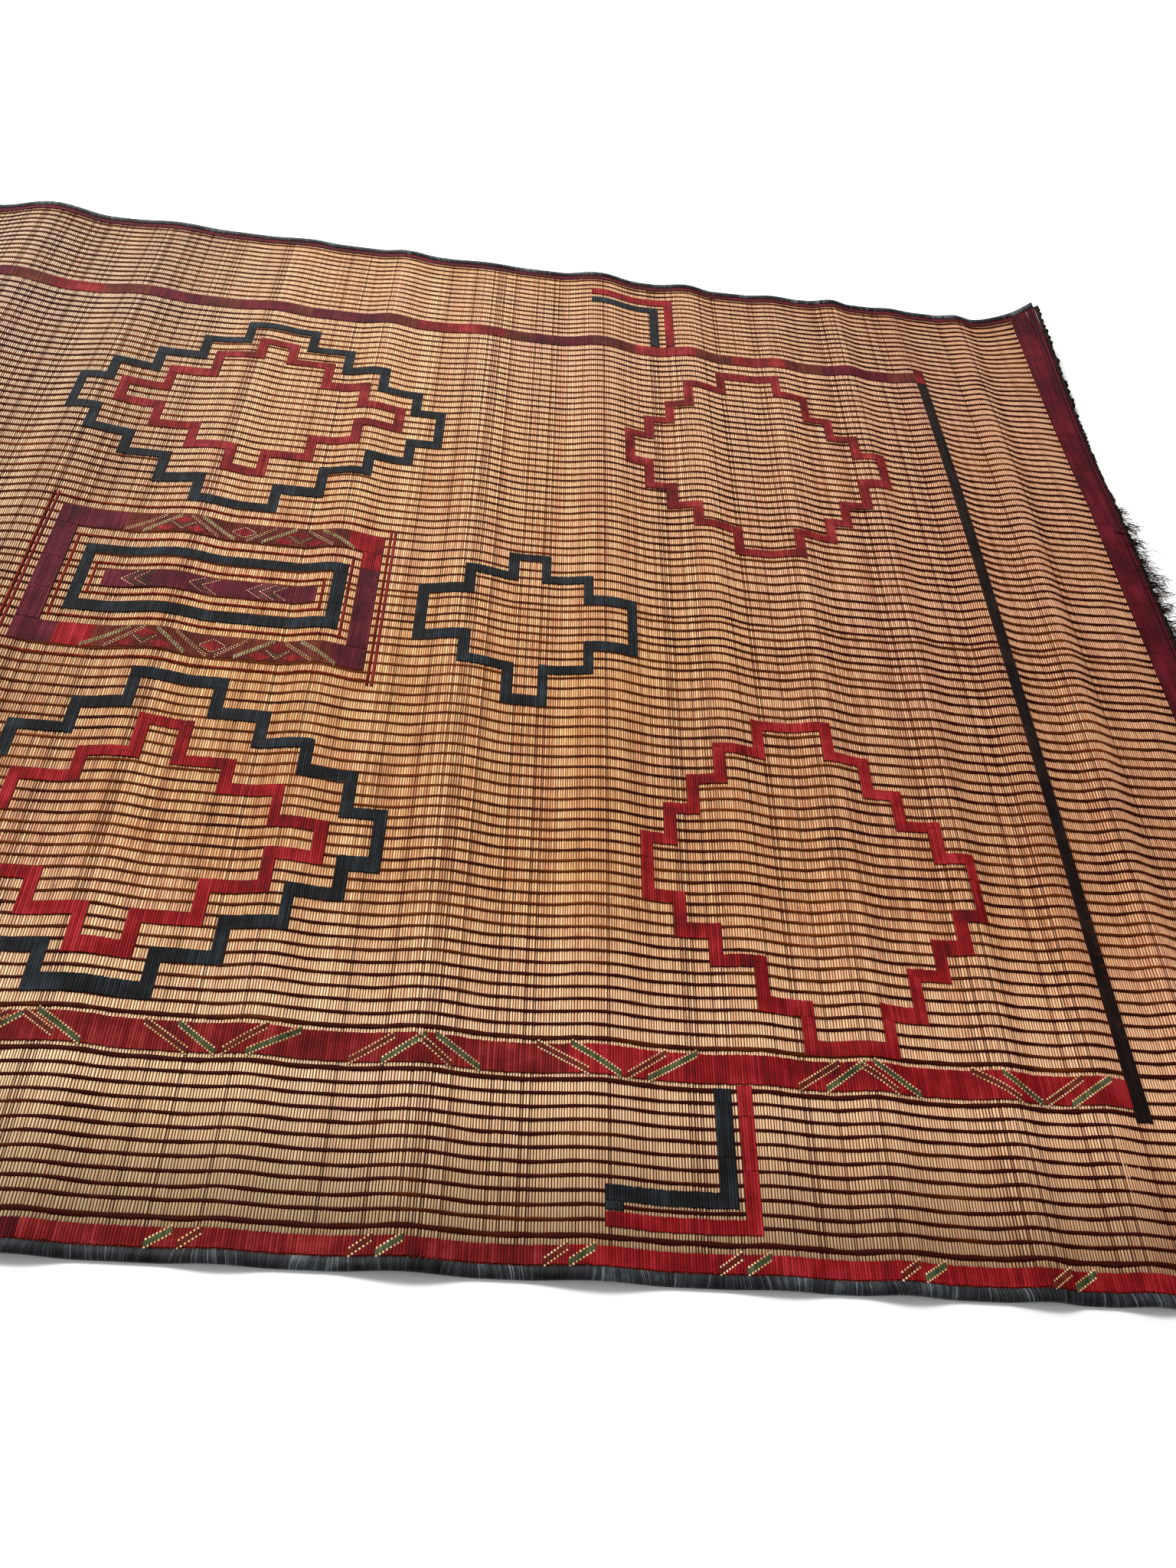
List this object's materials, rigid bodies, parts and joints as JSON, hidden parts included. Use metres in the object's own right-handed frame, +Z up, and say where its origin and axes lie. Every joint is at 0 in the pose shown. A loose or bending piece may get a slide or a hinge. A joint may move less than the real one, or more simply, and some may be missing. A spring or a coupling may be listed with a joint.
{
  "type": "reed and leather mat",
  "caption": "Large floor mat of fine reeds bound by leather thongs, with stepped leather inlay, rolled edge bindings, end strips and leather fringes, lying in low folds with one corner curled.",
  "frame": {"origin": "on the floor under the middle of the mat", "axes": "+X along the mat towards the end with the curled corner, +Y across it towards the far edge, +Z up"},
  "size_m": [3.0939, 2.009, 0.0652],
  "materials": {
    "reed": "dry split reed, satin",
    "black_leather": "blue-black goat leather, worn",
    "red_leather": "dark red dyed leather",
    "fringe_leather": "dark brown raw-edged leather"
  },
  "bodies": {
    "root": {"reed_panel": "reed", "binding_near": "black_leather", "binding_far": "black_leather", "end_strip_right": "red_leather", "end_strip_left": "red_leather", "fringe_right": "fringe_leather", "fringe_left": "fringe_leather"}
  },
  "joints": []
}
